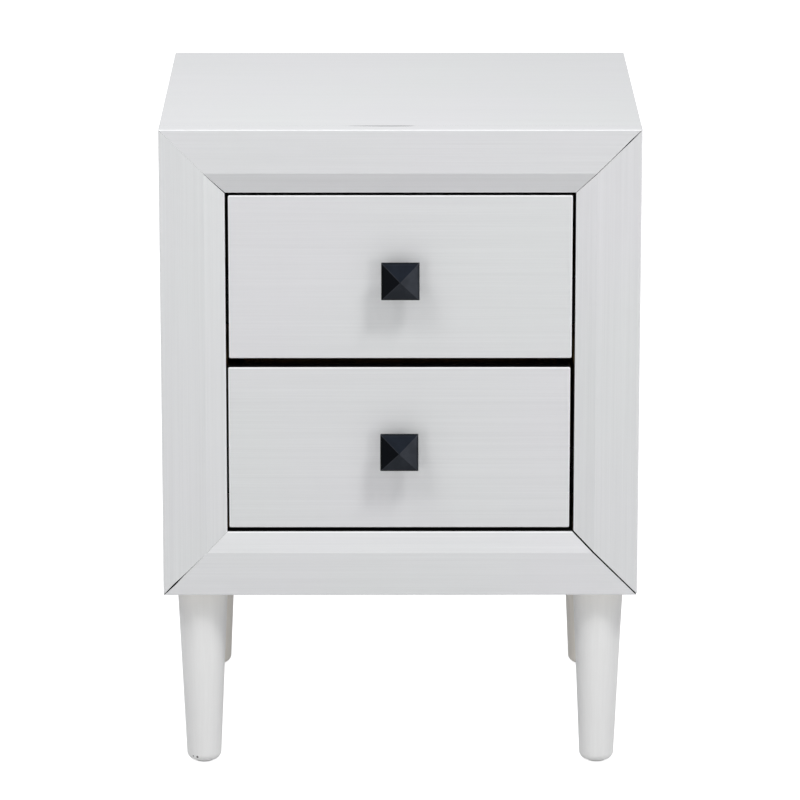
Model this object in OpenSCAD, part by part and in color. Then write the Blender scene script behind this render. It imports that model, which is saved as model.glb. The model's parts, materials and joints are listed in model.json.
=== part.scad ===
// Nightstand with two inset drawers, a mitred picture-frame front, square
// pyramid knobs and four round tapered legs.
// X is the width, the front faces -Y, Z is up. The origin is on the floor, in
// the middle of the width and of the depth, knobs included.

/* [Overall size] */
// Width of the case
case_w = 450; // [360:1:620]
// Depth of the case, face frame included and knobs left out
case_d = 400; // [330:1:560]
// Height from the floor to the top
total_h = 625; // [510:1:760]
// Height of the case's underside above the floor
leg_h = 175; // [120:1:220]

/* [Case boards] */
// Thickness of the top, bottom and side panels
board_t = 15; // [12:0.5:22]
// Thickness of the back panel
back_t = 5; // [3:0.5:8]
// How far the back panel sits inside the rear edges
back_recess = 1.5; // [1.2:0.1:4]
// Width of the rebate that holds the back panel
back_lap = 8; // [6:0.5:10]

/* [Face frame] */
// Thickness of the frame members
frame_t = 20; // [16:0.5:26]
// Width of the flat outer band
frame_flat = 41.5; // [36:0.5:60]
// Width of the sloping inner band
bevel_w = 19.5; // [10:0.5:30]
// How far the sloping band runs in at the opening
bevel_depth = 6.5; // [4:0.5:11]
// Gap in the upper left mitre
mitre_upper_left = 0.1; // [0.05:0.05:1]
// Gap in the upper right mitre
mitre_upper_right = 0.25; // [0.05:0.05:1]
// Gap in the lower left mitre
mitre_lower_left = 0.3; // [0.05:0.05:1]
// Gap in the lower right mitre
mitre_lower_right = 0.6; // [0.05:0.05:1]

/* [Drawer fronts] */
// Thickness of a drawer front
front_t = 16; // [12:0.5:22]
// Gap at each side of a drawer front
side_gap = 2.8; // [1.5:0.1:4]
// Gap above the upper front
top_gap = 2.3; // [1:0.1:4]
// Gap between the two fronts
middle_gap = 8.4; // [2:0.1:12]
// Gap below the lower front
bottom_gap = 3.9; // [1:0.1:5]
// Sideways offset of the lower front
lower_shift = -1; // [-1.2:0.1:1.2]

/* [Drawer boxes] */
// Thickness of the box boards
box_t = 12; // [10:0.5:16]
// Height of the box above the lower edge of its front
box_below = 12; // [6:0.5:20]
// Drop of the box below the upper edge of its front
box_above = 23.5; // [10:0.5:40]
// Thickness of the box bottom
box_bottom_t = 5; // [3:0.5:8]
// Height of the bottom's groove above the box's lower edge
groove_rise = 8; // [6:0.5:12]
// Depth of that groove
groove_depth = 6; // [4:0.5:7]
// Room at the edges of the bottom in its groove
groove_room = 0.5; // [0.2:0.1:1]

/* [Drawer slides] */
// Thickness of a closed slide
slide_t = 12.7; // [12.7:0.1:13.5]
// Height of the cabinet member
slide_h = 45; // [42:0.5:46]
// Sheet thickness of the members
slide_sheet = 1.2; // [1:0.1:1.5]
// Height of the slide's centre above the box's lower edge
slide_rise = 40; // [30:0.5:44]
// Step between stock slide lengths
slide_step = 50; // [50:50:100]
// Least room between the box and the back panel
slide_rear_room = 10; // [5:1:20]
// Step from the cabinet member's free edge to the box
cab_clear = 2; // [1.8:0.1:2.4]
// Step from the middle member's free edge to the box
mid_clear = 1.6; // [1.4:0.1:1.7]
// Room between the webs of two nested members
web_room = 0.7; // [0.5:0.1:0.9]
// Room for the balls between two nested members
ball_room = 3.5; // [3:0.1:4]

/* [Corner posts] */
// Depth of a post
post_d = 32; // [28:1:40]

/* [Legs] */
// Diameter at the top of a leg
leg_top_d = 48; // [40:1:54]
// Diameter at the foot
leg_foot_d = 33; // [26:1:40]
// Radius of the foot's rounded edge
foot_round = 7; // [2:0.5:8]
// Leg centre from the side of the case
leg_side_inset = 36; // [32:1:44]
// Front leg centre from the front of the case
leg_front_inset = 36; // [36:1:48]
// Rear leg centre from the back of the case
leg_rear_inset = 48; // [40:1:100]
// Diameter of the glide under each foot
glide_d = 18; // [14:1:20]
// Thickness of the glide
glide_t = 1.5; // [1.5:0.5:4]

/* [Knobs] */
// Width of the square head
knob_w = 36; // [28:1:44]
// Width of the pyramid on the head
pyramid_w = 32; // [22:0.5:36]
// Height of the pyramid
pyramid_h = 4.5; // [3:0.5:9]
// Depth of the chamfer round the head
knob_chamfer = 2; // [1:0.5:4]
// Thickness of the head's square edge
knob_edge = 3; // [2:0.5:5]
// Length of the stem
stem_len = 15.5; // [12:0.5:20]
// Diameter of the stem at the head
stem_d = 13; // [10:0.5:18]
// Diameter of the stem's foot on the drawer front
stem_foot_d = 19; // [14:0.5:22]

/* [Fasteners] */
// Diameter of the dowels
dowel_d = 8; // [6:1:8]
// Length of the dowels
dowel_len = 28; // [24:1:30]
// Depth of a dowel in a panel's face
dowel_face = 9; // [7:0.5:9]
// Diameter of the wood screws
screw_d = 3.5; // [3:0.1:4]
// Diameter of their heads
screw_head_d = 7; // [6:0.1:8]
// Diameter of the flat on their heads
screw_flat_d = 4.2; // [3.8:0.1:5]
// Height of their heads
screw_head_h = 2; // [1.5:0.1:2.5]
// Depth of the bottom panel's screws in the posts
post_bite = 20; // [12:1:25]
// Room between those screws' heads and the inserts
post_screw_room = 5; // [4:0.5:6]
// Depth of the slides' screws in the posts
member_bite = 15; // [10:1:20]
// Wood left in a drawer front beyond its screws
front_skin = 5; // [3:0.5:8]
// Wood left in a box side beyond its screws
side_skin = 2; // [1:0.5:4]
// Diameter of the knob screws
knob_screw_d = 4; // [4:1:5]
// Diameter of the knob screws' heads
knob_head_d = 8.4; // [7.5:0.1:9]
// Diameter of the flat on those heads
knob_flat_d = 6; // [5.5:0.1:7]
// Height of those heads
knob_head_h = 2.2; // [1.8:0.1:3]
// Metal left in a knob's stem beyond its screw
knob_skin = 3; // [2:0.5:5]
// Diameter of the leg bolts
bolt_d = 8; // [6:1:8]
// Depth of the bolt in the leg
bolt_in_leg = 35; // [25:1:45]
// Outer diameter of the threaded inserts
insert_d = 12; // [10:0.5:13]
// Length of the threaded inserts
insert_len = 25; // [20:1:30]
// Thread left free at the top of an insert
insert_free = 3; // [1:0.5:5]
// Diameter of the back panel's nails
nail_d = 1.6; // [1.4:0.1:2]
// Length of the nails
nail_len = 16; // [14:1:20]
// Diameter of their heads
nail_head_d = 3.5; // [3:0.1:4]
// Height of their heads
nail_head_h = 1; // [0.6:0.1:1.1]
// Radial room round a fastener in its hole
fit = 0.05; // [0.02:0.01:0.1]

/* [Hidden] */
$fn = 64;
eps = 1; // how far a cutting shape runs past what it cuts

// Face frame
frame_w = frame_flat + bevel_w;
open_w = case_w - 2 * frame_w;
case_h = total_h - leg_h;
open_h = case_h - 2 * frame_w;
open_z = leg_h + frame_w;

// Depths, from the front of the case to its back
knob_out = stem_len + knob_edge + knob_chamfer + pyramid_h;
knob_reach = knob_out - bevel_depth;
front_y = (knob_reach - case_d) / 2;
back_y = front_y + case_d;
panel_y = front_y + frame_t;
panel_d = case_d - frame_t;
face_y = front_y + bevel_depth;
box_y = face_y + front_t;
back_panel_y = back_y - back_recess - back_t;

// Heights
bottom_z = leg_h + board_t;
top_z = total_h - board_t;
front_h = (open_h - top_gap - middle_gap - bottom_gap) / 2;
front_w = open_w - 2 * side_gap;
lower_z = open_z + bottom_gap;
upper_z = lower_z + front_h + middle_gap;

// Drawer boxes and slides
slide_len = slide_step * floor((back_panel_y - box_y - slide_rear_room) / slide_step);
box_w = open_w - 2 * slide_t;
box_in = box_w - 2 * box_t;
box_h = front_h - box_below - box_above;
box_d = slide_len;

// Slide sections: half heights of the members' outer faces, and where the
// members' webs and free edges stand, measured from the post
cab_half = slide_h / 2;
mid_half = cab_half - slide_sheet - ball_room;
dra_half = mid_half - slide_sheet - ball_room;
cab_edge = slide_t - cab_clear;
mid_web = slide_sheet + screw_head_h + web_room;
mid_edge = slide_t - mid_clear;
dra_edge = mid_web + slide_sheet + web_room;

// Posts, legs and the fasteners that follow them
post_w = (case_w - open_w) / 2 - board_t;
leg_x = case_w / 2 - leg_side_inset;
leg_front_y = front_y + leg_front_inset;
leg_rear_y = back_y - leg_rear_inset;
LEG_YS = [leg_front_y, leg_rear_y];
SIDES = [-1, 1];

// Places of fasteners, as shares of the piece that they go into
MITRE_DOWELS = [0.34, 0.62]; // across the frame's width
MITRE_DOWEL_DEPTH = 0.62; // through its thickness
FRONT_SCREW_X = 0.4; // from the middle of the box's inside width
FRONT_SCREWS_Z = [0.28, 0.75]; // up the box
SLIDE_SCREWS_Y = [0.12, 0.82]; // along the box

// ---------------------------------------------------------------- helpers

// A cuboid from its low corner and its size
module block(at, size) translate(at) cube(size);

// A cylinder from a point along a direction: "x", "y" or "z"
module rod(at, len, d, along = "z") {
    translate(at)
        rotate(along == "x" ? [0, 90, 0] : along == "y" ? [-90, 0, 0] : [0, 0, 0])
            cylinder(h = len, d = d);
}

// A wood screw whose head stands on the face at `at`, driven in `dir`
module screw(at, dir, len, grow = 0) {
    turn = dir == "+x" ? [0, 90, 0] : dir == "-x" ? [0, -90, 0]
         : dir == "+y" ? [-90, 0, 0] : dir == "-y" ? [90, 0, 0]
         : dir == "+z" ? [0, 0, 0] : [180, 0, 0];
    translate(at) rotate(turn) {
        cylinder(h = len, d = screw_d + 2 * grow, $fn = 24);
        if (grow == 0)
            rotate([180, 0, 0]) cylinder(h = screw_head_h, d1 = screw_head_d, d2 = screw_flat_d, $fn = 32);
    }
}

// ------------------------------------------------------------- fasteners

// Positions spread evenly between two ends, ends left out
function spread(from, to, count) =
    [for (i = [1:count]) from + (to - from) * i / (count + 1)];

// Dowels that pin the side panels to the top and bottom panels
module case_dowel_set(grow = 0) {
    d = dowel_d + 2 * grow;
    for (s = SIDES, y = spread(panel_y, back_panel_y, 3)) {
        x = s * (case_w - board_t) / 2;
        rod([x, y, top_z + dowel_face - dowel_len - grow], dowel_len + 2 * grow, d);
        low = s < 0 ? -case_w / 2 + board_t - dowel_face : case_w / 2 - board_t + dowel_face - dowel_len;
        rod([low - grow, y, leg_h + board_t / 2], dowel_len + 2 * grow, d, "x");
    }
}

// Dowels that pin the face frame to the front edges of the case
module frame_dowel_set(grow = 0) {
    d = dowel_d + 2 * grow;
    y = panel_y - dowel_face - grow;
    l = dowel_len + 2 * grow;
    for (s = SIDES, z = spread(leg_h, total_h, 3))
        rod([s * (case_w - board_t) / 2, y, z], l, d, "y");
    for (z = [leg_h + board_t / 2, total_h - board_t / 2], x = spread(-case_w / 2, case_w / 2, 3))
        rod([x, y, z], l, d, "y");
}

// Two dowels across each mitre of the face frame
module mitre_dowel_set(grow = 0) {
    for (sx = SIDES, sz = SIDES, share = MITRE_DOWELS) {
        k = frame_w * share;
        cz = sz > 0 ? total_h - k : leg_h + k;
        translate([sx * (case_w / 2 - k), front_y + frame_t * MITRE_DOWEL_DEPTH, cz])
            rotate([0, -sx * sz * 45, 0])
                rod([0, 0, -dowel_len / 2 - grow], dowel_len + 2 * grow, dowel_d + 2 * grow);
    }
}

// Screws up through the bottom panel into the posts, sunk flush beside the
// inserts, where the legs' tops hide them
module post_screw_set(grow = 0) {
    off = (insert_d + screw_head_d) / 2 + post_screw_room;
    for (s = SIDES, y = LEG_YS) {
        screw([s * (leg_x - off), y, leg_h + screw_head_h], "+z", board_t + post_bite, grow);
        if (grow > 0)
            rod([s * (leg_x - off), y, leg_h - eps], eps + screw_head_h + grow, screw_head_d + 2 * grow);
    }
}

// Screws through the cabinet members into the posts
module cabinet_screw_set(grow = 0) {
    for (s = SIDES, z = [lower_z, upper_z], y = LEG_YS)
        screw([s * (open_w / 2 - slide_sheet), y, z + box_below + slide_rise], s > 0 ? "+x" : "-x",
              slide_sheet + member_bite, grow);
}

// Nails that hold the back panel in its rebate
module nail_set(grow = 0) {
    edge = back_lap / 2;
    xs = spread(-case_w / 2, case_w / 2, 4);
    zs = spread(leg_h, total_h, 4);
    low = leg_h + board_t - edge;
    high = total_h - board_t + edge;
    side = case_w / 2 - board_t + edge;
    for (x = xs, z = [low, high]) nail([x, z], grow);
    for (s = SIDES, z = zs) nail([s * side, z], grow);
}

module nail(at, grow) {
    y = back_panel_y + back_t;
    rod([at[0], y - nail_len, at[1]], nail_len, nail_d + 2 * grow, "y", $fn = 24);
    if (grow == 0) rod([at[0], y, at[1]], nail_head_h, nail_head_d, "y", $fn = 24);
}

// Hanger bolts from the legs up into the inserts
module bolt_set(grow = 0) {
    len = bolt_in_leg + insert_len - insert_free;
    for (s = SIDES, y = LEG_YS)
        rod([s * leg_x, y, leg_h - bolt_in_leg - grow], len + grow, bolt_d + 2 * grow);
}

// Threaded inserts in the bottom panel and the posts
module insert_set(grow = 0) {
    for (s = SIDES, y = LEG_YS)
        rod([s * leg_x, y, leg_h - (grow > 0 ? eps : 0)], insert_len + (grow > 0 ? eps + grow : 0),
            insert_d + 2 * grow);
}

// Screws from inside a drawer box into its front
module front_screw_set(z, grow = 0) {
    for (s = SIDES, h = FRONT_SCREWS_Z)
        screw([s * box_in * FRONT_SCREW_X, box_y + box_t, z + box_below + box_h * h], "-y",
              box_t + front_t - front_skin, grow);
}

// Screws through the drawer members into the box sides
module slide_screw_set(z, grow = 0) {
    for (s = SIDES, y = SLIDE_SCREWS_Y)
        screw([s * (box_w / 2 + slide_sheet), box_y + box_d * y, z + box_below + slide_rise],
              s > 0 ? "-x" : "+x", box_t - side_skin, grow);
}

// The machine screw that pulls a knob on from inside the box
module knob_screw_at(x, z, grow = 0) {
    reach = stem_len - knob_skin + front_t + box_t;
    translate([x, box_y + box_t, z + front_h / 2]) rotate([90, 0, 0]) {
        translate([0, 0, -grow]) cylinder(h = reach + 2 * grow, d = knob_screw_d + 2 * grow, $fn = 32);
        if (grow == 0)
            rotate([180, 0, 0]) cylinder(h = knob_head_h, d1 = knob_head_d, d2 = knob_flat_d, $fn = 32);
    }
}

// ------------------------------------------------------------------ case

module top_panel() {
    color("white") difference() {
        block([-case_w / 2, panel_y, top_z], [case_w, panel_d, board_t]);
        back_rebate();
        case_dowel_set(fit);
        frame_dowel_set(fit);
        nail_set(fit);
    }
}

module bottom_panel() {
    color("white") difference() {
        block([-case_w / 2 + board_t, panel_y, leg_h], [case_w - 2 * board_t, panel_d, board_t]);
        back_rebate();
        case_dowel_set(fit);
        frame_dowel_set(fit);
        nail_set(fit);
        insert_set(fit);
        post_screw_set(fit);
    }
}

module side_panel(s) {
    x = s > 0 ? case_w / 2 - board_t : -case_w / 2;
    color("white") difference() {
        block([x, panel_y, leg_h], [board_t, panel_d, top_z - leg_h]);
        back_rebate();
        case_dowel_set(fit);
        frame_dowel_set(fit);
        nail_set(fit);
    }
}

// The space that the back panel fills, open to the rear
module back_rebate() {
    w = case_w - 2 * board_t + 2 * back_lap;
    h = case_h - 2 * board_t + 2 * back_lap;
    block([-w / 2, back_panel_y, bottom_z - back_lap], [w, back_t + back_recess + eps, h]);
}

module back_panel() {
    w = case_w - 2 * board_t + 2 * back_lap;
    h = case_h - 2 * board_t + 2 * back_lap;
    color("white") difference() {
        block([-w / 2, back_panel_y, bottom_z - back_lap], [w, back_t, h]);
        nail_set(fit);
    }
}

// One mitred member of the face frame, along X with its outer edge at z = 0
// and its opening edge below it. The gaps are shared by the two members.
module frame_member(len, gap_left, gap_right) {
    left = gap_left / sqrt(2);
    right = gap_right / sqrt(2);
    slope = atan(bevel_depth / bevel_w);
    difference() {
        translate([0, frame_t, 0]) rotate([90, 0, 0]) linear_extrude(frame_t)
            polygon([
                [-len / 2 + left, 0], [len / 2 - right, 0],
                [len / 2 - right - frame_w, -frame_w], [-len / 2 + left + frame_w, -frame_w]
            ]);
        translate([-len / 2, 0, -frame_flat]) rotate([-slope, 0, 0])
            translate([0, -frame_t, -frame_w]) cube([len, frame_t, frame_w]);
    }
}

// Puts a member at its edge of the case and drills it
module placed_member(at, turn) {
    color("white") difference() {
        translate([at[0], front_y, at[1]]) rotate([0, turn, 0]) children();
        mitre_dowel_set(fit);
        frame_dowel_set(fit);
    }
}

module frame_top_rail()
    placed_member([0, total_h], 0) frame_member(case_w, mitre_upper_left, mitre_upper_right);

module frame_bottom_rail()
    placed_member([0, leg_h], 180) frame_member(case_w, mitre_lower_right, mitre_lower_left);

module frame_left_stile()
    placed_member([-case_w / 2, leg_h + case_h / 2], -90)
        frame_member(case_h, mitre_lower_left, mitre_upper_left);

module frame_right_stile()
    placed_member([case_w / 2, leg_h + case_h / 2], 90)
        frame_member(case_h, mitre_upper_right, mitre_lower_right);

// A post stands in a corner of the case, over its leg, and carries the slides
module post(s, y) {
    x = s > 0 ? open_w / 2 : -open_w / 2 - post_w;
    low_y = max(y - post_d / 2, panel_y);
    color("burlywood") difference() {
        block([x, low_y, bottom_z], [post_w, y + post_d / 2 - low_y, top_z - bottom_z]);
        insert_set(fit);
        post_screw_set(fit);
        cabinet_screw_set(fit);
        case_dowel_set(fit);
        frame_dowel_set(fit);
    }
}

// ------------------------------------------------------------------ legs

// A tapered leg with a rounded foot, hung on its bolt
module leg(s, y) {
    top_r = leg_top_d / 2;
    foot_r = leg_foot_d / 2;
    steps = 8;
    round_pts = [for (i = [0:steps]) let (a = 90 * i / steps)
        [foot_r - foot_round * (1 - sin(a)), glide_t + foot_round * (1 - cos(a))]];
    color("white") difference() {
        translate([s * leg_x, y, 0])
            rotate_extrude() polygon(concat([[0, glide_t]], round_pts, [[top_r, leg_h], [0, leg_h]]));
        bolt_set(fit);
    }
}

module leg_bolts() color("silver") bolt_set();

module leg_inserts() {
    color("goldenrod") difference() {
        insert_set();
        for (s = SIDES, y = LEG_YS)
            rod([s * leg_x, y, leg_h - eps], insert_len + 2 * eps, bolt_d + 2 * fit);
    }
}

module leg_glides() {
    color("gray") for (s = SIDES, y = LEG_YS) rod([s * leg_x, y, 0], glide_t, glide_d);
}

module mitre_dowels() color("burlywood") mitre_dowel_set();
module frame_dowels() color("burlywood") frame_dowel_set();
module case_dowels() color("burlywood") case_dowel_set();
module post_screws() color("silver") post_screw_set();
module back_nails() color("silver") nail_set();
module cabinet_slide_screws() color("silver") cabinet_screw_set();

// ---------------------------------------------------------------- slides

// A channel along Y whose web stands at `web` from the post, with its two
// flanges reaching to `edge`; `half` is half its height
module channel(s, z, web, edge, half) {
    lo = min(web, edge);
    hi = max(web, edge);
    web_lo = web < edge ? web : web - slide_sheet;
    translate([s * open_w / 2, box_y, z + box_below + slide_rise])
        rotate([-90, 0, 0]) linear_extrude(slide_len) scale([-s, 1]) {
            translate([lo, -half]) square([hi - lo, slide_sheet]);
            translate([lo, half - slide_sheet]) square([hi - lo, slide_sheet]);
            translate([web_lo, -half]) square([slide_sheet, 2 * half]);
        }
}

module cabinet_member(s, z) {
    color("silver") difference() {
        channel(s, z, 0, cab_edge, cab_half);
        cabinet_screw_set(fit);
    }
}

module middle_member(s, z) {
    color("silver") channel(s, z, mid_web, mid_edge, mid_half);
}

module drawer_member(s, z) {
    color("silver") difference() {
        channel(s, z, slide_t, dra_edge, dra_half);
        slide_screw_set(z, fit);
    }
}

// --------------------------------------------------------------- drawers

module drawer_front(x, z) {
    color("white") difference() {
        block([x - front_w / 2, face_y, z], [front_w, front_t, front_h]);
        front_screw_set(z, fit);
        knob_screw_at(x, z, fit);
    }
}

// The groove that the box bottom fills, with room at its edges
module bottom_sheet(z, room) {
    w = box_in + 2 * (groove_depth - room);
    d = box_d - 2 * box_t + 2 * (groove_depth - room);
    block([-w / 2, box_y + box_t - groove_depth + room, z + box_below + groove_rise], [w, d, box_bottom_t]);
}

module box_end(x, z, y) {
    color("burlywood") difference() {
        block([-box_in / 2, y, z + box_below], [box_in, box_t, box_h]);
        bottom_sheet(z, 0);
        front_screw_set(z, fit);
        knob_screw_at(x, z, fit);
    }
}

module box_side(s, z) {
    x = s > 0 ? box_in / 2 : -box_w / 2;
    color("burlywood") difference() {
        block([x, box_y, z + box_below], [box_t, box_d, box_h]);
        bottom_sheet(z, 0);
        slide_screw_set(z, fit);
    }
}

module box_bottom(z) color("tan") bottom_sheet(z, groove_room);

// A square that narrows from one width to another
module square_taper(h, from, to)
    rotate(45) cylinder(h = h, d1 = from * sqrt(2), d2 = to * sqrt(2), $fn = 4);

// A square head with a chamfered rim and a low pyramid, on a flared stem
module knob(x, z) {
    head = knob_edge + knob_chamfer;
    color([0.08, 0.08, 0.09]) difference() {
        translate([x, face_y, z + front_h / 2]) rotate([90, 0, 0]) {
            cylinder(h = stem_len + knob_edge / 2, d1 = stem_foot_d, d2 = stem_d);
            translate([0, 0, stem_len]) {
                linear_extrude(knob_edge) square(knob_w, center = true);
                translate([0, 0, knob_edge]) square_taper(knob_chamfer, knob_w, pyramid_w);
                translate([0, 0, head]) square_taper(pyramid_h, pyramid_w, 0);
            }
        }
        knob_screw_at(x, z, fit);
    }
}

// ----------------------------------------------------------------- nodes

top_panel();
bottom_panel();
side_panel(-1);  // left_side_panel
side_panel(1);  // right_side_panel
back_panel();
frame_top_rail();
frame_bottom_rail();
frame_left_stile();
frame_right_stile();
post(-1, leg_front_y);  // front_left_post
post(1, leg_front_y);  // front_right_post
post(-1, leg_rear_y);  // rear_left_post
post(1, leg_rear_y);  // rear_right_post
leg(-1, leg_front_y);  // front_left_leg
leg(1, leg_front_y);  // front_right_leg
leg(-1, leg_rear_y);  // rear_left_leg
leg(1, leg_rear_y);  // rear_right_leg
leg_bolts();
leg_inserts();
leg_glides();
mitre_dowels();
frame_dowels();
case_dowels();
post_screws();
back_nails();
cabinet_slide_screws();
cabinet_member(-1, upper_z);  // upper_left_cabinet_member
cabinet_member(1, upper_z);  // upper_right_cabinet_member
cabinet_member(-1, lower_z);  // lower_left_cabinet_member
cabinet_member(1, lower_z);  // lower_right_cabinet_member
middle_member(-1, upper_z);  // upper_left_middle_member
middle_member(1, upper_z);  // upper_right_middle_member
middle_member(-1, lower_z);  // lower_left_middle_member
middle_member(1, lower_z);  // lower_right_middle_member
drawer_member(-1, upper_z);  // upper_left_drawer_member
drawer_member(1, upper_z);  // upper_right_drawer_member
drawer_member(-1, lower_z);  // lower_left_drawer_member
drawer_member(1, lower_z);  // lower_right_drawer_member
drawer_front(0, upper_z);  // upper_drawer_front
box_end(0, upper_z, box_y);  // upper_box_front
box_end(0, upper_z, box_y + box_d - box_t);  // upper_box_back
box_side(-1, upper_z);  // upper_box_left
box_side(1, upper_z);  // upper_box_right
box_bottom(upper_z);  // upper_box_bottom
knob(0, upper_z);  // upper_knob
color("silver") knob_screw_at(0, upper_z);  // upper_knob_screw
color("silver") front_screw_set(upper_z);  // upper_front_screws
color("silver") slide_screw_set(upper_z);  // upper_slide_screws
drawer_front(lower_shift, lower_z);  // lower_drawer_front
box_end(lower_shift, lower_z, box_y);  // lower_box_front
box_end(lower_shift, lower_z, box_y + box_d - box_t);  // lower_box_back
box_side(-1, lower_z);  // lower_box_left
box_side(1, lower_z);  // lower_box_right
box_bottom(lower_z);  // lower_box_bottom
knob(lower_shift, lower_z);  // lower_knob
color("silver") knob_screw_at(lower_shift, lower_z);  // lower_knob_screw
color("silver") front_screw_set(lower_z);  // lower_front_screws
color("silver") slide_screw_set(lower_z);  // lower_slide_screws
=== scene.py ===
import json
import math

import bmesh
import bpy
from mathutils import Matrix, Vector

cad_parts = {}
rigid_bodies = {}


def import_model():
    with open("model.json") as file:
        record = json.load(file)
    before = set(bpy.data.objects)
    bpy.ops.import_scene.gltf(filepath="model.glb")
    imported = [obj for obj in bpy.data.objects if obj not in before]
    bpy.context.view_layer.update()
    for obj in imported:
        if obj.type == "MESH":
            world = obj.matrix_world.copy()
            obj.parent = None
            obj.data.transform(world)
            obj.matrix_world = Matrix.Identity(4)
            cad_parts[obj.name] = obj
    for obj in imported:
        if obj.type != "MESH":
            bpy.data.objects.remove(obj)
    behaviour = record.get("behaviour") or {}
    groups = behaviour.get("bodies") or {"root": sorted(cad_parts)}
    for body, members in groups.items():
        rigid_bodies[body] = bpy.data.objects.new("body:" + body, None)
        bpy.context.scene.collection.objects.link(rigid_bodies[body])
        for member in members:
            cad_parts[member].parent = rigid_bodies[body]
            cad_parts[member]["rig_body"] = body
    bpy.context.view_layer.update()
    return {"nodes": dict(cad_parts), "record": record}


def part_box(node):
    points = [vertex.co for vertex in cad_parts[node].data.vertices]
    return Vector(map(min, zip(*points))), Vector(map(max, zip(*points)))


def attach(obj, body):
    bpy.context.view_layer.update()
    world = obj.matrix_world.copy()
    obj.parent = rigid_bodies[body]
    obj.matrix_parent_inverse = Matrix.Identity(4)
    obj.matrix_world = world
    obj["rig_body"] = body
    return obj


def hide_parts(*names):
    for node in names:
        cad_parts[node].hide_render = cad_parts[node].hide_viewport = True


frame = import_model()
NODES = frame["nodes"]
MM = 0.001

# ---------------------------------------------------------------- dimensions
# Sizes inside a piece that its box can't give, in metres.
NEAR = 1e-6                 # places closer together than this count as one

FLAT_W = 41.5 * MM          # flat outer band of the face frame
BEVEL_DEPTH = 6.5 * MM      # how far its sloping band runs in
ARRIS = 1.3 * MM            # rounding of the frame's outer front edge
BAND_ARRIS = 0.9 * MM       # rounding where its flat band meets the sloping one
OPENING_ARRIS = 1.8 * MM    # rounding of its opening's front edge
REAR_ARRIS = 0.1 * MM       # rounding of its rear edges
END_EASE = 0.12 * MM        # easing round the cut ends of its members

FRONT_ARRIS = 1.6 * MM      # rounding of a drawer front's edges

FOOT_D = 33 * MM            # diameter of a leg's foot
FOOT_ROUND = 7 * MM         # rounding of a foot's edge
LEG_TOP_ROUND = 0.6 * MM    # rounding of a leg's top edge
CHIP_SUNK = 0.15 * MM       # how far a chip's centre lies inside the foot

PYRAMID_W = 32 * MM         # pyramid on a knob's head
PYRAMID_H = 4.5 * MM
KNOB_CHAMFER = 2 * MM       # chamfer round the pyramid
KNOB_EDGE = 3 * MM          # edge of the head behind the chamfer
KNOB_TAPER = 0.4 * MM       # how far each side of that edge narrows to the back
KNOB_ARRIS = 0.45 * MM      # rounding of all the head's edges

STEM_R = 6.5 * MM           # neck of a knob's stem
STEM_FOOT_R = 9.5 * MM      # its foot, against the drawer front
STEM_FOOT_H = 1.6 * MM      # height of the foot below the flare
STEM_CHAMFER_R = 0.6 * MM   # chamfer of the foot, along its radius
STEM_CHAMFER_H = 0.5 * MM   # top of that chamfer
STEM_LIFT = 0.02 * MM       # clearance between the foot and the drawer front
STEM_IN_HEAD = 0.8 * MM     # how far the stem runs into the head


# ------------------------------------------------------------------ geometry
def link(obj):
    bpy.context.scene.collection.objects.link(obj)
    return obj


def box_of(node):
    """A node's lowest and highest corners."""
    low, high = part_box(node)
    return Vector(low), Vector(high)


def finish_mesh(bm, name, material, sharp=math.radians(35)):
    """Turns a bmesh into a smooth-shaded object whose edges over `sharp` stay crisp."""
    bmesh.ops.recalc_face_normals(bm, faces=bm.faces)
    for face in bm.faces:
        face.smooth = True
    for edge in bm.edges:
        edge.smooth = len(edge.link_faces) == 2 and edge.calc_face_angle(0) < sharp
    mesh = bpy.data.meshes.new(name)
    bm.to_mesh(mesh)
    bm.free()
    mesh.materials.append(material)
    obj = link(bpy.data.objects.new(name, mesh))
    normals = obj.modifiers.new("even_faces", "WEIGHTED_NORMAL")
    normals.keep_sharp = True
    return obj


def stand_for(obj, node):
    """The piece replaces that CAD node and rides on its body."""
    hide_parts(node)
    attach(obj, NODES[node]["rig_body"])


def rounded(corners, steps=4):
    """A closed outline with each corner (x, y, radius) turned into an arc."""
    points = []
    count = len(corners)
    for i, (x, y, radius) in enumerate(corners):
        here = Vector((x, y))
        if radius <= 0:
            points.append(here)
            continue
        before = (Vector(corners[i - 1][:2]) - here).normalized()
        after = (Vector(corners[(i + 1) % count][:2]) - here).normalized()
        half = before.angle(after) / 2
        inset = radius / math.tan(half)
        middle = here + (before + after).normalized() * (radius / math.sin(half))
        a = here + before * inset - middle
        b = here + after * inset - middle
        turn = a.angle_signed(b)
        for k in range(steps + 1):
            angle = -turn * k / steps
            points.append(middle + Vector((a.x * math.cos(angle) - a.y * math.sin(angle),
                                           a.x * math.sin(angle) + a.y * math.cos(angle))))
    return points


def lathe(bm, outline, centre, steps=96, axis="z"):
    """Revolves (radius, height) points, whose ends lie on the axis, into bm.

    Height runs along +Z, or towards the front, -Y, for the axis "y"."""
    rings = []
    for radius, height in outline:
        ring = []
        for k in range(steps if radius > NEAR else 1):
            a = 2 * math.pi * k / steps
            u, v = radius * math.cos(a), radius * math.sin(a)
            place = (u, v, height) if axis == "z" else (u, -height, v)
            ring.append(bm.verts.new(centre + Vector(place)))
        rings.append(ring)
    for low, high in zip(rings, rings[1:]):
        for k in range(steps):
            n = (k + 1) % steps
            corners = [low[k % len(low)], low[n % len(low)], high[n % len(high)], high[k % len(high)]]
            unique = list(dict.fromkeys(corners))
            if len(unique) > 2:
                bm.faces.new(unique)


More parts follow.
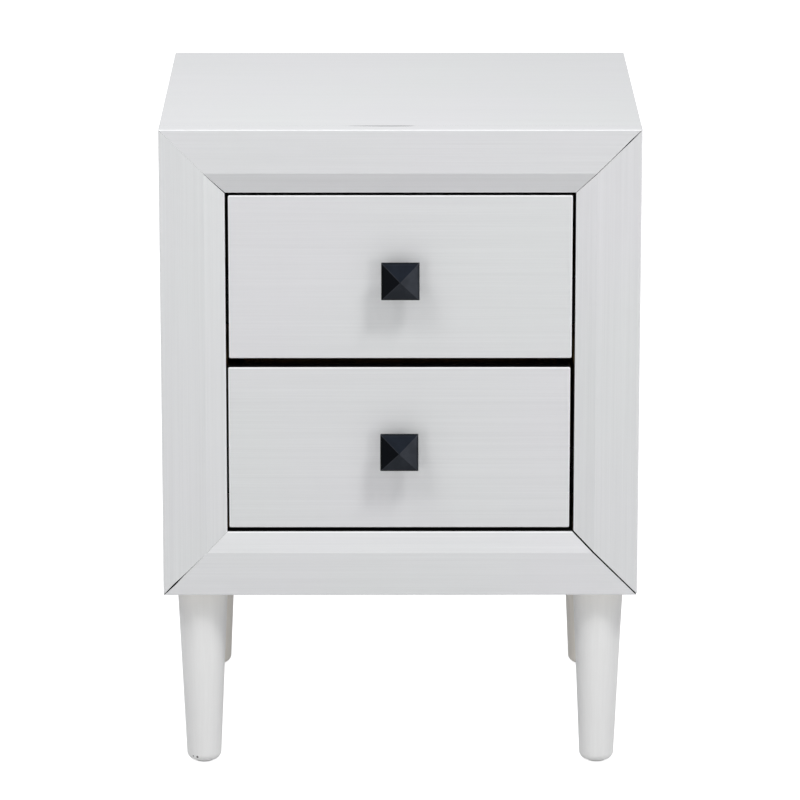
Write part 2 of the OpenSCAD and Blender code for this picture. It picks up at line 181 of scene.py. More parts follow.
# ------------------------------------------------------------ material nodes
class Nodes:
    """A short way to lay out one node material."""

    def __init__(self, name):
        self.material = bpy.data.materials.new(name)
        self.material.use_nodes = True
        self.tree = self.material.node_tree
        self.shader = self.tree.nodes["Principled BSDF"]
        self.coords = self.tree.nodes.new("ShaderNodeTexCoord").outputs["Object"]

    def put(self, kind, **values):
        """Adds a node and sets its inputs, or its own properties, by name."""
        node = self.tree.nodes.new(kind)
        for key, value in values.items():
            if key in node.inputs:
                node.inputs[key].default_value = value
            else:
                setattr(node, key, value)
        return node

    def join(self, out, into):
        self.tree.links.new(out, into)

    def set(self, **values):
        """Sets the shader's own sockets by name."""
        for key, value in values.items():
            self.shader.inputs[key.replace("_", " ")].default_value = value

    def surface(self, colour, roughness, normal):
        """Joins the three finished channels to the shader."""
        self.join(colour, self.shader.inputs["Base Color"])
        self.join(roughness, self.shader.inputs["Roughness"])
        self.join(normal, self.shader.inputs["Normal"])

    def normal(self):
        return self.put("ShaderNodeNewGeometry").outputs["Normal"]

    def noise(self, scale, detail=4.0, roughness=0.6, seed=0.0):
        """Noise in features per metre, with one scale for all axes or one for each."""
        place = self.put("ShaderNodeMapping")
        place.inputs["Scale"].default_value = scale if isinstance(scale, tuple) else (scale,) * 3
        place.inputs["Location"].default_value = (seed, seed * 1.7, seed * 2.3)
        self.join(self.coords, place.inputs["Vector"])
        noise = self.put("ShaderNodeTexNoise", Scale=1.0, Detail=detail, Roughness=roughness)
        self.join(place.outputs["Vector"], noise.inputs["Vector"])
        return noise.outputs["Fac"]

    def spread(self, value, low, high, new_low=0.0, new_high=1.0):
        """Maps low..high to new_low..new_high, clamped."""
        node = self.put("ShaderNodeMapRange", clamp=True)
        node.inputs["From Min"].default_value = low
        node.inputs["From Max"].default_value = high
        node.inputs["To Min"].default_value = new_low
        node.inputs["To Max"].default_value = new_high
        self.join(value, node.inputs["Value"])
        return node.outputs["Result"]

    def math(self, kind, a, b=None):
        node = self.put("ShaderNodeMath", operation=kind)
        for slot, value in enumerate((a, b)):
            if value is None:
                continue
            if isinstance(value, (int, float)):
                node.inputs[slot].default_value = value
            else:
                self.join(value, node.inputs[slot])
        return node.outputs[0]

    def unsigned(self, value):
        """The value without its sign."""
        return self.math("ABSOLUTE", value)

    def weighted(self, a, b, share):
        """Two values added, with that share of a and the rest of b."""
        return self.math("ADD", self.math("MULTIPLY", a, share), self.math("MULTIPLY", b, 1 - share))

    def mix(self, factor, a, b, blend="MIX"):
        node = self.put("ShaderNodeMix", data_type="RGBA", blend_type=blend)
        for socket, value in ((node.inputs[0], factor), (node.inputs[6], a), (node.inputs[7], b)):
            if isinstance(value, (int, float)):
                socket.default_value = value
            elif isinstance(value, tuple):
                socket.default_value = (*value, 1)
            else:
                self.join(value, socket)
        return node.outputs[2]

    def bump(self, height, strength, distance, under=None):
        node = self.put("ShaderNodeBump", Strength=strength, Distance=distance)
        self.join(height, node.inputs["Height"])
        if under is not None:
            self.join(under, node.inputs["Normal"])
        return node.outputs["Normal"]

    def split(self, vector):
        node = self.put("ShaderNodeSeparateXYZ")
        self.join(vector, node.inputs[0])
        return node.outputs


def stretched(along, across, lengthwise):
    """A noise scale that is low along one axis, for grain that runs that way."""
    return tuple(lengthwise if axis == along else across for axis in "xyz")


def grey(level):
    return (level, level, level)


# --------------------------------------------------------------------- tones
WHITE = (0.700, 0.702, 0.705)           # satin paint of the case and the fronts
EDGE_HIGHLIGHT = (0.92, 0.925, 0.93)            # painted highlight: a paler tone of the same paint along the arrises
GRAIN_SHADE = 0.93                      # tone of the paint's brushed streaks, as a share of the base
COOL_TINT = (0.99, 1.0, 0.996)          # the paint's slow drift in colour, between these two
WARM_TINT = (1.0, 0.994, 1.008)
SHADE_BLACK = (0.006, 0.006, 0.007)      # painted shade: black on the drawer fronts' rims and on the top panel's front edge, where the gaps fall in shade
# black of the frame's mitre joints, also painted shade on its opening's walls and in the crack behind the top
# rail
JOINT_SHADE_LOW, JOINT_SHADE_HIGH = (0.004, 0.004, 0.0045), (0.009, 0.009, 0.010)

LEG_LOW, LEG_HIGH = (0.775, 0.772, 0.765), (0.81, 0.808, 0.80)
# painted light: the rear legs, in the case's shadow, get a lighter, warmer beige copy of the leg paint
REAR_LEG_LIT_LOW, REAR_LEG_LIT_HIGH = (0.88, 0.835, 0.76), (0.92, 0.875, 0.80)
PAINTED_LIGHT_UNDER_CASE = (1.06, 1.04, 1.0)          # painted light: a lighter, warmer tint on a leg close under the case, where the case shades it
PAINTED_LIGHT_REACH = 0.045                # how far down that painted light reaches, in metres
CHIP_TONE = (0.035, 0.03, 0.028)

BIRCH_LIGHT, BIRCH_DARK = (0.69, 0.50, 0.30), (0.56, 0.37, 0.19)
THIN_PLY_LIGHT, THIN_PLY_DARK = (0.72, 0.55, 0.35), (0.60, 0.42, 0.24)
PINE_LIGHT, PINE_DARK = (0.66, 0.45, 0.22), (0.47, 0.26, 0.10)
BEECH_LIGHT, BEECH_DARK = (0.60, 0.40, 0.22), (0.48, 0.29, 0.14)
GLUE_LINE = (0.33, 0.19, 0.09)          # dark layers on the cut edge of plywood
PLY_LAYER = 0.0012                      # thickness of one layer, in metres

BOARD_LOW, BOARD_HIGH = (0.64, 0.645, 0.64), (0.70, 0.70, 0.695)
BOARD_FLECK = (0.52, 0.50, 0.46)

# Painted light and shade on a knob: each facet gets a tone by the way it faces, lightest to the right and
# darkest to the left, with a painted highlight on the ridges and painted shade on the sides
FACET_RIGHT_LIT = (0.035, 0.0385, 0.0470)
FACET_UP_SHADED = (0.0120, 0.0152, 0.0225)
FACET_DOWN_SHADED = (0.0215, 0.0243, 0.0300)
FACET_LEFT_SHADED = (0.0004, 0.0007, 0.0020)
RIDGE_HIGHLIGHT = (0.048, 0.052, 0.061)
KNOB_SIDES_SHADED = (0.0008, 0.0009, 0.0012)

ZINC_TONE, SCREW_TONE, BRASS_TONE = (0.55, 0.56, 0.58), (0.60, 0.60, 0.61), (0.70, 0.50, 0.20)
SPANGLE_SHADE = 0.8                     # darker zinc crystals, as a share of the tone
# painted shade: near black on the slides' ends, where they show in the gaps
SHADED_END = (0.012, 0.012, 0.012)
NYLON_LOW, NYLON_HIGH = (0.62, 0.62, 0.60), (0.68, 0.68, 0.66)


# ----------------------------------------------------------------- materials
def brushed_white(n, along, seed, highlight_tone, flat=0.93):
    """Satin white paint over brushed wood, with a painted highlight in another tone along its arrises.

    It sets the gloss and relief, and returns the colour and the face's direction.
    `flat` is how squarely a face has to look forward to count as flat and keep its tone."""
    hair = n.noise(stretched(along, 1500.0, 7.0), 3.0, 0.55, seed)
    band = n.noise(stretched(along, 330.0, 2.4), 4.0, 0.6, seed + 11)
    cloud = n.noise(5.0, 2.0, 0.5, seed + 23)
    streaks = n.weighted(hair, band, 0.5)
    tone = n.mix(n.spread(streaks, 0.34, 0.66), tuple(c * GRAIN_SHADE for c in WHITE), WHITE)
    tone = n.mix(1.0, tone, n.mix(n.spread(cloud, 0.35, 0.65), COOL_TINT, WARM_TINT), "MULTIPLY")
    facing = n.split(n.normal())
    front = n.unsigned(facing[1])
    # painted highlight: faces between facing forward and facing sideways, the arrises, get the paler tone
    arris_highlight = n.math("MULTIPLY", n.spread(front, 0.36, 0.5), n.spread(front, flat - 0.04, flat, 1.0, 0.0))
    tone = n.mix(n.math("MULTIPLY", arris_highlight, 0.7), tone, highlight_tone)
    n.join(n.spread(streaks, 0.3, 0.7, 0.36, 0.46), n.shader.inputs["Roughness"])
    orange_peel = n.bump(n.noise(260.0, 2.0, 0.5, seed + 5), 0.08, 0.0004)
    n.join(n.bump(streaks, 0.2, 0.0004, orange_peel), n.shader.inputs["Normal"])
    n.set(Specular_IOR_Level=0.55, Coat_Weight=0.25, Coat_Roughness=0.2)
    return tone, facing


def white_paint(name, along, seed):
    """The case and the frame: white with a painted highlight along the arrises."""
    n = Nodes(name)
    tone, _ = brushed_white(n, along, seed, EDGE_HIGHLIGHT)
    n.join(tone, n.shader.inputs["Base Color"])
    return n.material


def front_paint(name, seed):
    """A drawer front: white on its faces, with painted shade, black, on its rim."""
    n = Nodes(name)
    tone, facing = brushed_white(n, "x", seed, EDGE_HIGHLIGHT, flat=0.995)
    # painted shade: the rim, facing up, down or sideways, is black so the gaps round the front read dark
    rim = n.spread(n.unsigned(facing[1]), 0.5, 0.58, 1.0, 0.0)
    n.join(n.mix(rim, tone, SHADE_BLACK), n.shader.inputs["Base Color"])
    return n.material


def top_paint(name, seed):
    """The top panel: white, with painted shade, black, on its front edge where it meets the frame's rail."""
    n = Nodes(name)
    tone, facing = brushed_white(n, "x", seed, WHITE)
    # painted shade: the front edge, seen through the open joint behind the rail, is black
    joint = n.spread(facing[1], -0.75, -0.6, 1.0, 0.0)
    n.join(n.mix(joint, tone, SHADE_BLACK), n.shader.inputs["Base Color"])
    return n.material


def joint_and_shade_black(name):
    """Black on cut wood: a dark joint on the frame's mitre ends, and painted shade on its opening's walls and
    in the open joint behind the top rail.
    """
    n = Nodes(name)
    grain = n.noise(900.0, 3.0, 0.6, 2.0)
    n.surface(n.mix(n.spread(grain, 0.3, 0.7), JOINT_SHADE_LOW, JOINT_SHADE_HIGH),
              n.spread(grain, 0.3, 0.7, 0.75, 0.9),
              n.bump(grain, 0.2, 0.0003))
    n.set(Specular_IOR_Level=0.2)
    return n.material


def chip_mask(n, chips):
    """1 inside any of the ragged round chips (x, y, z, radius), 0 outside them."""
    ragged = n.noise(900.0, 2.0, 0.5, 5.0)
    mask = 0.0
    for x, y, z, radius in chips:
        away = n.put("ShaderNodeVectorMath", operation="DISTANCE")
        away.inputs[1].default_value = (x, y, z)
        n.join(n.coords, away.inputs[0])
        reach = n.math("ADD", away.outputs["Value"], n.math("MULTIPLY", ragged, radius * 0.8))
        mask = n.math("MAXIMUM", mask, n.spread(reach, radius, radius * 1.4, 1.0, 0.0))
    return mask


def leg_paint(name, tone_low, tone_high, chips=()):
    """Smooth white lacquer, with painted light, lighter and warmer, close under the case, and small dark
    chips.
    """
    n = Nodes(name)
    cloud = n.noise(9.0, 3.0, 0.5, 3.0)
    grain = n.noise(stretched("z", 420.0, 8.0), 3.0, 0.5, 8.0)
    both = n.weighted(cloud, grain, 0.5)
    tone = n.mix(n.spread(both, 0.35, 0.65), tone_low, tone_high)
    top_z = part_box("front_left_leg")[1][2]
    # painted light: the leg's top is tinted lighter and warmer against the case's shadow
    lit_under_case = n.spread(n.split(n.coords)[2], top_z - PAINTED_LIGHT_REACH, top_z)
    tone = n.mix(n.math("MULTIPLY", lit_under_case, lit_under_case), tone, PAINTED_LIGHT_UNDER_CASE, "MULTIPLY")
    relief = n.bump(n.noise(300.0, 2.0), 0.08, 0.0004)
    if chips:
        worn = chip_mask(n, chips)
        tone = n.mix(worn, tone, CHIP_TONE)
        relief = n.bump(worn, 0.5, -0.0002, relief)
    n.surface(tone, n.spread(both, 0.3, 0.7, 0.34, 0.44), relief)
    n.set(Specular_IOR_Level=0.5, Coat_Weight=0.15, Coat_Roughness=0.25)
    n.set(Sheen_Weight=0.55, Sheen_Roughness=0.5)
    return n.material


def leg_chips():
    """Two small chips low on the front left foot, a little left of its front."""
    low, high = box_of("front_left_leg")
    x, y = (low.x + high.x) / 2, (low.y + high.y) / 2
    out = FOOT_D / 2 - CHIP_SUNK
    places = ((-0.68, 5.6 * MM, 0.9 * MM), (-0.39, 5.3 * MM, 1.4 * MM))
    return [(x + out * math.sin(turn), y - out * math.cos(turn), low.z + height, radius)
            for turn, height, radius in places]


def bare_wood(name, along, light, dark, ply=False, seed=0.0):
    """Planed wood with growth rings along one axis; ply shows its layers on the cut edges."""
    n = Nodes(name)
    warp = n.noise(stretched(along, 22.0, 2.2), 2.0, 0.5, seed)
    ring = n.noise(stretched(along, 90.0, 2.5), 6.0, 0.65, seed + 4)
    fibre = n.noise(stretched(along, 1300.0, 22.0), 3.0, 0.6, seed + 9)
    tone = n.mix(n.spread(n.weighted(ring, warp, 0.6), 0.36, 0.64), dark, light)
    tone = n.mix(n.spread(fibre, 0.35, 0.7, 0.0, 0.3), tone, dark)
    if ply:
        place = n.split(n.coords)
        layer = n.math("PINGPONG", n.math("ADD", place[0], place[1]), PLY_LAYER)
        stripes = n.spread(layer, PLY_LAYER / 3, PLY_LAYER * 2 / 3)
        edge = n.spread(n.unsigned(n.split(n.normal())[2]), 0.7, 0.8)
        tone = n.mix(n.math("MULTIPLY", n.math("MULTIPLY", stripes, edge), 0.6), tone, GLUE_LINE)
    n.surface(tone, n.spread(fibre, 0.3, 0.7, 0.45, 0.62), n.bump(fibre, 0.25, 0.0003))
    return n.material


def board_white(name):
    """White-faced hardboard: a fine woven press mark under a thin matt coat."""
    n = Nodes(name)
    fleck = n.noise(600.0, 4.0, 0.7, 2.0)
    cloud = n.noise(5.0, 3.0, 0.5, 6.0)
    tone = n.mix(n.spread(cloud, 0.35, 0.65), BOARD_LOW, BOARD_HIGH)
    tone = n.mix(n.spread(fleck, 0.55, 0.75, 0.0, 0.25), tone, BOARD_FLECK)
    n.surface(tone, n.spread(fleck, 0.3, 0.7, 0.5, 0.7), n.bump(fleck, 0.3, 0.0003))
    return n.material


def black_lacquer(name):
    """Satin black on cast metal, with painted light and shade: each facet a tone by the way it faces, with a
    paler painted highlight along the ridges.
    """
    n = Nodes(name)
    grit = n.noise(1500.0, 3.0, 0.6, 1.0)
    cloud = n.noise(90.0, 3.0, 0.5, 4.0)
    x, y, z = n.split(n.normal())
    # painted light and shade: facets toned by their facing, ridges a painted highlight, sides painted shade
    tone = n.mix(n.spread(x, 0.1, 0.2), FACET_UP_SHADED, FACET_RIGHT_LIT)
    tone = n.mix(n.spread(z, -0.2, -0.1, 1.0, 0.0), tone, FACET_DOWN_SHADED)
    tone = n.mix(n.spread(x, -0.2, -0.1, 1.0, 0.0), tone, FACET_LEFT_SHADED)
    ridge_highlight_mask = n.math("MINIMUM", n.unsigned(x), n.unsigned(z))
    tone = n.mix(n.spread(ridge_highlight_mask, 0.07, 0.12, 0.0, 0.8), tone, RIDGE_HIGHLIGHT)
    tone = n.mix(n.spread(n.unsigned(y), 0.5, 0.8, 1.0, 0.0), tone, KNOB_SIDES_SHADED)
    tone = n.mix(1.0, tone, n.mix(n.spread(cloud, 0.35, 0.65), grey(0.85), grey(1.1)), "MULTIPLY")
    n.surface(tone, n.spread(grit, 0.3, 0.7, 0.36, 0.44), n.bump(grit, 0.12, 0.0002))
    n.set(Specular_IOR_Level=0.08, Specular_Tint=(0.85, 0.93, 1.0, 1.0))
    return n.material


def plated(name, along, colour, rough, shaded_ends=False):
    """Plated or turned metal: faint lines along it and soft spangle; its ends may get painted shade, near
    black.
    """
    n = Nodes(name)
    roll = n.noise(stretched(along, 1400.0, 14.0), 3.0, 0.6, 2.0)
    spangle = n.noise(160.0, 2.0, 0.4, 7.0)
    tone = n.mix(n.spread(spangle, 0.35, 0.65), tuple(c * SPANGLE_SHADE for c in colour), colour)
    if shaded_ends:
        # painted shade: the faces at the front and back ends go near black
        ends = n.spread(n.unsigned(n.split(n.normal())[1]), 0.5, 0.7)
        tone = n.mix(ends, tone, SHADED_END)
    n.surface(tone, n.spread(roll, 0.3, 0.7, rough - 0.06, rough + 0.08), n.bump(roll, 0.1, 0.0002))
    n.set(Metallic=1.0)
    return n.material


def moulded_plastic(name):
    """White nylon with a spark-eroded moulding texture."""
    n = Nodes(name)
    grit = n.noise(1200.0, 3.0, 0.6, 3.0)
    n.surface(n.mix(n.spread(grit, 0.3, 0.7), NYLON_LOW, NYLON_HIGH),
              n.spread(grit, 0.3, 0.7, 0.5, 0.62),
              n.bump(grit, 0.2, 0.0002))
    return n.material


PAINT_X = white_paint("paint_grain_x", "x", 0.0)
PAINT_Z = white_paint("paint_grain_z", "z", 9.2)
PAINT_TOP = top_paint("paint_top_panel", 4.4)
PAINT_UPPER = front_paint("paint_upper_front", 3.1)
PAINT_LOWER = front_paint("paint_lower_front", 6.4)
LEG = leg_paint("leg_lacquer", LEG_LOW, LEG_HIGH, leg_chips())
# painted light: a lighter, warmer copy of the leg paint for the rear legs under the case
REAR_LEG_PAINTED_LIGHT = leg_paint("rear_leg_lacquer_painted_light", REAR_LEG_LIT_LOW, REAR_LEG_LIT_HIGH)
JOINT_AND_SHADE_BLACK = joint_and_shade_black("joint_black_and_painted_shade")
BIRCH_Y = bare_wood("birch_ply_sides", "y", BIRCH_LIGHT, BIRCH_DARK, ply=True, seed=1.0)
BIRCH_X = bare_wood("birch_ply_ends", "x", BIRCH_LIGHT, BIRCH_DARK, ply=True, seed=5.0)
PLY_BOTTOM = bare_wood("thin_birch_ply", "y", THIN_PLY_LIGHT, THIN_PLY_DARK, seed=8.0)
PINE = bare_wood("pine_post", "z", PINE_LIGHT, PINE_DARK, seed=2.0)
BEECH = bare_wood("beech_dowel", "z", BEECH_LIGHT, BEECH_DARK, seed=6.0)
HARDBOARD = board_white("white_hardboard")
BLACK = black_lacquer("black_lacquer")
ZINC = plated("zinc_slide", "y", ZINC_TONE, 0.32, shaded_ends=True)
SCREW_ZINC = plated("zinc_fastener", "y", SCREW_TONE, 0.26)
BRASS = plated("turned_brass", "x", BRASS_TONE, 0.28)
NYLON = moulded_plastic("nylon_glide")

# ----------------------------------------------------------------- CAD nodes
BY_SLOT = {
    "case_paint": PAINT_X, "leg_paint": LEG, "post_pine": PINE, "back_board": HARDBOARD,
    "box_birch": BIRCH_X, "box_bottom_ply": PLY_BOTTOM, "dowel_wood": BEECH, "knob_black": BLACK,
    "slide_zinc": ZINC, "fastener_zinc": SCREW_ZINC, "insert_brass": BRASS, "glide_plastic": NYLON,
}
# Nodes whose material differs from their slot's
BY_NODE = {
    "left_side_panel": PAINT_Z, "right_side_panel": PAINT_Z,
    "top_panel": PAINT_TOP,
    "upper_box_left": BIRCH_Y, "upper_box_right": BIRCH_Y,
    "lower_box_left": BIRCH_Y, "lower_box_right": BIRCH_Y,
}
# Width of the eased edges in millimetres, by slot and for nodes that differ from their slot
EASED = {"case_paint": 1.3, "box_birch": 0.8, "post_pine": 0.8, "slide_zinc": 0.3, "glide_plastic": 0.6,
         "back_board": 0.3, "box_bottom_ply": 0.2}
EASED_NODE = {"top_panel": 0.15, "left_side_panel": 0.4, "right_side_panel": 0.4}
EASE_SEGMENTS = 3
EASE_OVER = math.radians(40)    # only edges that turn more than this are eased
FLAT_UNDER = math.radians(1)    # faces that turn less than this become one


def dress(node, slot):
    """Gives a CAD node its material, whole flat faces and eased edges."""
    obj = NODES[node]
    obj.data.materials.clear()
    obj.data.materials.append(BY_NODE.get(node, BY_SLOT[slot]))
    for face in obj.data.polygons:
        face.use_smooth = True
    weld = obj.modifiers.new("weld", "WELD")
    weld.merge_threshold = NEAR
    whole = obj.modifiers.new("whole_faces", "DECIMATE")
    whole.decimate_type = "DISSOLVE"
    whole.angle_limit = FLAT_UNDER
    if slot in EASED:
        ease = obj.modifiers.new("eased_edges", "BEVEL")
        ease.width = EASED_NODE.get(node, EASED[slot]) * MM
        ease.segments = EASE_SEGMENTS
        ease.limit_method = "ANGLE"
        ease.angle_limit = EASE_OVER
        ease.use_clamp_overlap = True
    normals = obj.modifiers.new("even_faces", "WEIGHTED_NORMAL")
    normals.keep_sharp = False


for part in frame["record"]["subparts"]:
    dress(part["node"], part["material_slot"])


# ---------------------------------------------------------------- face frame
RAIL_LOW, RAIL_HIGH = box_of("frame_top_rail")
FRONT_Y = RAIL_LOW.y
FRAME_T = RAIL_HIGH.y - RAIL_LOW.y
FRAME_W = RAIL_HIGH.z - RAIL_LOW.z
TOP_Z = RAIL_HIGH.z
BASE_Z = box_of("frame_bottom_rail")[0].z
LEFT_X = box_of("frame_left_stile")[0].x
CASE_W = -2 * LEFT_X
CASE_H = TOP_Z - BASE_Z
MID_Z = (TOP_Z + BASE_Z) / 2

# Mitre gaps in millimetres at these shares of the way from the outer corner to the opening
GAP_SHARES = (0.0, 0.17, 0.35, 0.66, 1.0)
MITRES = {
    "upper_left": (0.20, 0.06, 0.04, 0.08, 0.75), "upper_right": (0.40, 1.05, 0.45, 0.45, 0.20),
    "lower_left": (0.70, 1.70, 0.45, 0.02, 0.06), "lower_right": (1.35, 1.30, 1.40, 1.45, 1.50),
}
# The open joint behind the top rail, seen only near the middle of the width
CRACK_FROM, CRACK_TO = -52 * MM, 14 * MM
CRACK_W = 2.0 * MM
CRACK_DEEP = 7 * MM
CRACK_START = 0.25      # share of its full width at its left end
CRACK_GROWTH = 1.4      # how fast it widens from there, per length
CRACK_BLUNT = 6         # how abruptly its two ends close
CRACK_STEPS = 40


def gap_at(gaps, share):
    """The mitre's gap at a share of the way in."""
    for (a, b), (low, high) in zip(zip(GAP_SHARES, GAP_SHARES[1:]), zip(gaps, gaps[1:])):
        if share <= b:
            return (low + (high - low) * max(share - a, 0.0) / (b - a)) * MM
    return gaps[-1] * MM


def crack_at(s):
    """Width of the joint behind the top rail at a distance along it, wider in its right half."""
    share = (s - CRACK_FROM) / (CRACK_TO - CRACK_FROM)
    if not 0 < share < 1:
        return 0.0
    return CRACK_W * min(1.0, CRACK_START + CRACK_GROWTH * share) * (1 - abs(2 * share - 1) ** CRACK_BLUNT)


def shrunk(profile, by):
    """The profile moved inwards by a small distance."""
    points = []
    for i, here in enumerate(profile):
        along = (Vector(profile[(i + 1) % len(profile)]) - Vector(profile[i - 1])).normalized()
        points.append(Vector(here) + Vector((-along.y, along.x)) * by)
    return points


def member(node, length, place, start_gaps, end_gaps, material, crack=False):
    """A mitred member: its profile swept along its length, with both ends cut at 45 degrees.

    `place` turns a distance along it, a width from its outer edge and a depth into a point.
    Half of each mitre's gap is cut from this member."""
    profile = rounded([
        (0, 0, ARRIS), (FRAME_W * GAP_SHARES[1], 0, 0), (FRAME_W * GAP_SHARES[2], 0, 0),
        (FLAT_W, 0, BAND_ARRIS), (FRAME_W, BEVEL_DEPTH, OPENING_ARRIS), (FRAME_W, FRAME_T, REAR_ARRIS),
        (CRACK_DEEP * 1.6, FRAME_T, 0), (CRACK_DEEP, FRAME_T, 0), (0, FRAME_T, REAR_ARRIS)
    ])
    inner = shrunk(profile, END_EASE)
    # Each station is an end, -1 or 1, with its easing, or 0 with a distance along the member
    stations = [(-1, END_EASE), (-1, 0.0)]
    if crack:
        stations += [(0, CRACK_FROM + (CRACK_TO - CRACK_FROM) * i / CRACK_STEPS)
                     for i in range(CRACK_STEPS + 1)]
    stations += [(1, 0.0), (1, END_EASE)]
    bm = bmesh.new()
    rings = []
    for end, at in stations:
        ring = []
        gaps = start_gaps if end < 0 else end_gaps
        for (w, d), (inner_w, inner_d) in zip(profile, inner):
            if end:
                cut = length / 2 - w - gap_at(gaps, w / FRAME_W) / math.sqrt(2)
                s = end * (cut - (0 if at else END_EASE))
                if at:
                    w, d = inner_w, inner_d
            else:
                s = at
                if d > FRAME_T * 0.9 and w <= CRACK_DEEP + NEAR:
                    d -= crack_at(s)
            ring.append(bm.verts.new(place(s, w, d)))
        rings.append(ring)
    count = len(profile)
    for low, high in zip(rings, rings[1:]):
        for k in range(count):
            n = (k + 1) % count
            face = bm.faces.new([low[k], low[n], high[n], high[k]])
            # the opening's walls and the crack take the black second material as painted shade; the mitre
            # ends take it as dark joints
            in_opening = min(profile[k][0], profile[n][0]) > FRAME_W - NEAR
            in_crack = crack and min(profile[k][1], profile[n][1]) > FRAME_T - NEAR and profile[k][0] < FLAT_W
            face.material_index = int(in_opening or in_crack)
    for ring in (rings[0], rings[-1]):
        bm.faces.new(ring).material_index = 1
    obj = finish_mesh(bm, node + "_painted", material, math.radians(30))
    obj.data.materials.append(JOINT_AND_SHADE_BLACK)
    stand_for(obj, node)


member("frame_top_rail", CASE_W, lambda s, w, d: (s, FRONT_Y + d, TOP_Z - w),
       MITRES["upper_left"], MITRES["upper_right"], PAINT_X, crack=True)
member("frame_bottom_rail", CASE_W, lambda s, w, d: (s, FRONT_Y + d, BASE_Z + w),
       MITRES["lower_left"], MITRES["lower_right"], PAINT_X)
member("frame_left_stile", CASE_H, lambda s, w, d: (LEFT_X + w, FRONT_Y + d, MID_Z + s),
       MITRES["lower_left"], MITRES["upper_left"], PAINT_Z)
member("frame_right_stile", CASE_H, lambda s, w, d: (-LEFT_X - w, FRONT_Y + d, MID_Z + s),
       MITRES["lower_right"], MITRES["upper_right"], PAINT_Z)


# ------------------------------------------------------------- drawer fronts
def drawer_front(node, material):
    """A board with rounded edges; the CAD node's screw holes are hidden in it."""
    low, high = box_of(node)
    bm = bmesh.new()
    bmesh.ops.create_cube(bm, size=1)
    for vert in bm.verts:
        vert.co = Vector(high[i] if vert.co[i] > 0 else low[i] for i in range(3))
    bmesh.ops.bevel(bm, geom=list(bm.edges), offset=FRONT_ARRIS, segments=5, profile=0.5, affect="EDGES")
    stand_for(finish_mesh(bm, node + "_board", material), node)


drawer_front("upper_drawer_front", PAINT_UPPER)
drawer_front("lower_drawer_front", PAINT_LOWER)


# ---------------------------------------------------------------------- legs
FOOT_STEPS = 8
TAPER_STEPS = 12


def leg(node, paint):
    """A turned leg: a rounded foot, a straight taper and a slightly rounded top edge."""
    low, high = box_of(node)
    centre = Vector(((low.x + high.x) / 2, (low.y + high.y) / 2, 0))
    top_r, foot_r, top = (high.x - low.x) / 2, FOOT_D / 2, LEG_TOP_ROUND
    taper_h = high.z - low.z - FOOT_ROUND
    outline = [(0, low.z)]
    for k in range(FOOT_STEPS + 1):
        a = math.radians(90 * k / FOOT_STEPS)
        outline.append((foot_r - FOOT_ROUND * (1 - math.sin(a)), low.z + FOOT_ROUND * (1 - math.cos(a))))
    for k in range(1, TAPER_STEPS):
        t = k / TAPER_STEPS
        outline.append((foot_r + (top_r - foot_r) * t, low.z + FOOT_ROUND + taper_h * t))
    outline += [(top_r - top * 0.1, high.z - top), (top_r - top * 0.4, high.z - top * 0.3),
                (top_r - top, high.z), (0, high.z)]
    bm = bmesh.new()
    lathe(bm, outline, centre)
    stand_for(finish_mesh(bm, node + "_turned", paint), node)


for side in ("left", "right"):
    leg(f"front_{side}_leg", LEG)
for side in ("left", "right"):
    leg(f"rear_{side}_leg", REAR_LEG_PAINTED_LIGHT)


# --------------------------------------------------------------------- knobs
FLARE_STEPS = 8
FLARE_CURVE = 2.2       # how quickly the stem narrows above its foot
FLARE_SHARE = 0.9       # share of the way to the head that the flare takes


def knob(node):
    """A square head with a chamfered rim and a low pyramid, on a flared round stem."""
    low, high = box_of(node)
    centre = Vector(((low.x + high.x) / 2, high.y, (low.z + high.z) / 2))
    head_half, pyramid_half = (high.x - low.x) / 2, PYRAMID_W / 2
    apex = high.y - low.y
    rim = apex - PYRAMID_H
    edge = rim - KNOB_CHAMFER
    back = edge - KNOB_EDGE
    bm = bmesh.new()
    rings = []
    for half, out in ((head_half - KNOB_TAPER, back), (head_half, edge), (pyramid_half, rim)):
        rings.append([bm.verts.new(centre + Vector((half * sx, -out, half * sz)))
                      for sx, sz in ((-1, -1), (1, -1), (1, 1), (-1, 1))])
    for near, far in zip(rings, rings[1:]):
        for k in range(4):
            bm.faces.new([near[k], near[(k + 1) % 4], far[(k + 1) % 4], far[k]])
    bm.faces.new(rings[0])
    tip = bm.verts.new(centre + Vector((0, -apex, 0)))
    for k in range(4):
        bm.faces.new([rings[-1][k], rings[-1][(k + 1) % 4], tip])
    bmesh.ops.recalc_face_normals(bm, faces=bm.faces)
    bmesh.ops.bevel(bm, geom=list(bm.edges), offset=KNOB_ARRIS, segments=3, profile=0.5, affect="EDGES")
    stem = [(0, STEM_LIFT), (STEM_FOOT_R - STEM_CHAMFER_R, STEM_LIFT),
            (STEM_FOOT_R, STEM_CHAMFER_H), (STEM_FOOT_R, STEM_FOOT_H)]
    for k in range(1, FLARE_STEPS + 1):
        t = k / FLARE_STEPS
        stem.append((STEM_R + (STEM_FOOT_R - STEM_R) * (1 - t) ** FLARE_CURVE,
                     STEM_FOOT_H + (back - STEM_FOOT_H) * t * FLARE_SHARE))
    stem += [(STEM_R, back + STEM_IN_HEAD), (0, back + STEM_IN_HEAD)]
    lathe(bm, stem, centre, 48, "y")
    stand_for(finish_mesh(bm, node + "_cast", BLACK, math.radians(28)), node)


knob("upper_knob")
knob("lower_knob")


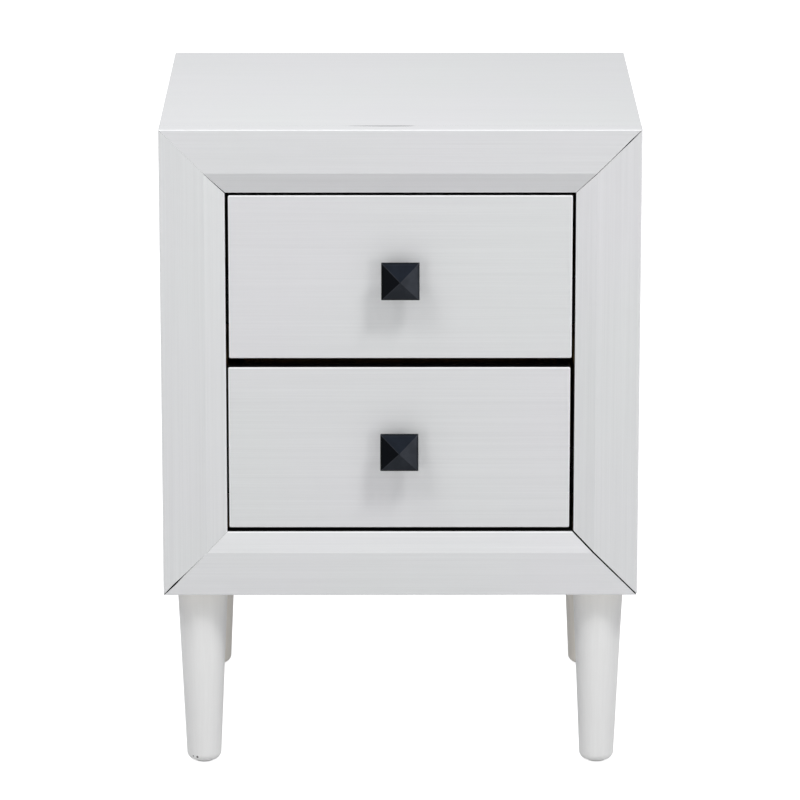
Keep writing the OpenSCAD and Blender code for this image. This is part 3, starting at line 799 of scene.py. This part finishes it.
# ----------------------------------------------------- camera, floor, lights
CAMERA_PLACE = (-0.009, -4.823, 1.54)
CAMERA_TARGET = (0.0, 0.0, 0.318)
CAMERA_ANGLE = math.radians(9.006)
CAMERA_REACH = 200
FLOOR_HALF = 30                         # half the floor's width, in metres
FLOOR_TONE, FLOOR_GLOW = 0.6, 0.85
WORLD_TONE = (0.97, 0.98, 1.0, 1)
WORLD_FELT, WORLD_SEEN = 0.49, 1.05     # backdrop's brightness as it lights the object and as it is seen


def aim(obj, target):
    obj.rotation_euler = (Vector(target) - obj.location).to_track_quat("-Z", "Y").to_euler()


def glow_for_camera(tree, strength_into, seen, felt):
    """Gives a studio surface one brightness as it is seen and another as it lights the object."""
    rays = tree.nodes.new("ShaderNodeLightPath")
    level = tree.nodes.new("ShaderNodeMapRange")
    level.inputs["To Min"].default_value = felt
    level.inputs["To Max"].default_value = seen
    tree.links.new(rays.outputs["Is Camera Ray"], level.inputs["Value"])
    tree.links.new(level.outputs["Result"], strength_into)


def pale_floor():
    """A plain studio floor that reads as nearly white."""
    n = Nodes("studio_floor")
    n.set(Base_Color=(*grey(FLOOR_TONE), 1), Roughness=0.9, Specular_IOR_Level=0.1)
    n.set(Emission_Color=(1, 1, 1, 1))
    glow_for_camera(n.tree, n.shader.inputs["Emission Strength"], FLOOR_GLOW, 0.0)
    bm = bmesh.new()
    bmesh.ops.create_grid(bm, x_segments=1, y_segments=1, size=FLOOR_HALF)
    mesh = bpy.data.meshes.new("floor")
    bm.to_mesh(mesh)
    bm.free()
    mesh.materials.append(n.material)
    link(bpy.data.objects.new("floor", mesh))


def soft_box(name, place, aim_z, size, watts):
    """An area light that looks at the cabinet's middle at that height."""
    data = bpy.data.lights.new(name, "AREA")
    data.shape = "RECTANGLE"
    data.size, data.size_y = size
    data.energy = watts
    light = link(bpy.data.objects.new(name, data))
    light.location = place
    aim(light, (0, 0, aim_z))


camera_data = bpy.data.cameras.new("camera")
camera = link(bpy.data.objects.new("camera", camera_data))
camera.location = CAMERA_PLACE
aim(camera, CAMERA_TARGET)
camera_data.sensor_fit = "HORIZONTAL"
camera_data.angle = CAMERA_ANGLE
camera_data.clip_end = CAMERA_REACH
bpy.context.scene.camera = camera

pale_floor()
soft_box("key_right", place=(1.25, -1.5, 3.1), aim_z=0.35, size=(0.7, 0.7), watts=49)
soft_box("fill_left", place=(-1.4, -1.5, 2.9), aim_z=0.35, size=(1.0, 1.0), watts=26)
soft_box("low_right", place=(1.35, -2.25, 0.5), aim_z=0.4, size=(0.6, 0.8), watts=5.8)
soft_box("low_left", place=(-1.1, -2.4, 0.45), aim_z=0.35, size=(0.6, 0.8), watts=5.0)
soft_box("behind", place=(-0.5, 2.3, 2.5), aim_z=0.4, size=(1.4, 1.4), watts=14)

world = bpy.data.worlds.new("studio")
bpy.context.scene.world = world
world.use_nodes = True
sky = world.node_tree.nodes["Background"]
sky.inputs["Color"].default_value = WORLD_TONE
glow_for_camera(world.node_tree, sky.inputs["Strength"], WORLD_SEEN, WORLD_FELT)
bpy.context.scene.view_settings.view_transform = "Standard"
